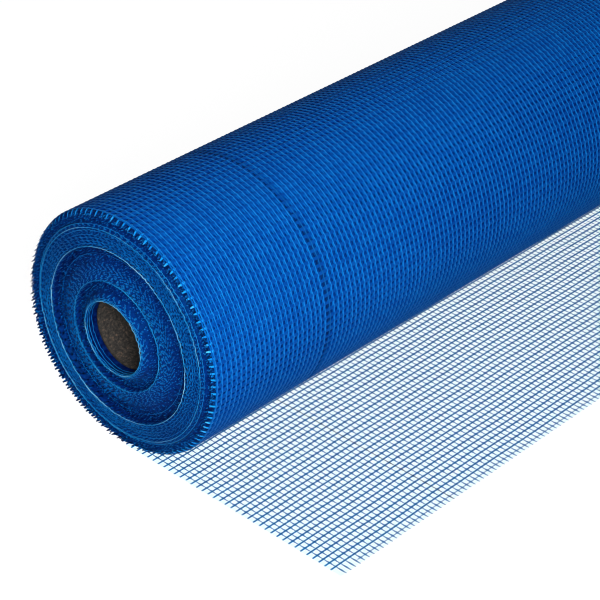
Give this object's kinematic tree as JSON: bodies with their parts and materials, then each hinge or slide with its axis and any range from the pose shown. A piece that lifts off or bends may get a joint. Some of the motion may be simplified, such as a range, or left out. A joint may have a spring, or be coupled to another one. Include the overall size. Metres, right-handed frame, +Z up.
{
  "type": "roll of fiberglass mesh",
  "caption": "Roll of blue open-weave fiberglass plaster mesh wound on a cardboard core, lying on its side with its free end unrolled flat.",
  "frame": {"origin": "on the floor straight below the roll's axis, at the middle of the web's width", "axes": "+X along the roll's axis, away from the end that shows in the picture; the free end lies toward -Y; +Z up"},
  "size_m": [1.0073, 0.2657, 0.1634],
  "materials": {
    "coated_mesh": "alkali-resistant resin coating, satin",
    "cardboard": "raw spiral-wound board"
  },
  "bodies": {
    "root": {"mesh_roll": "coated_mesh", "core_tube": "cardboard"}
  },
  "joints": []
}
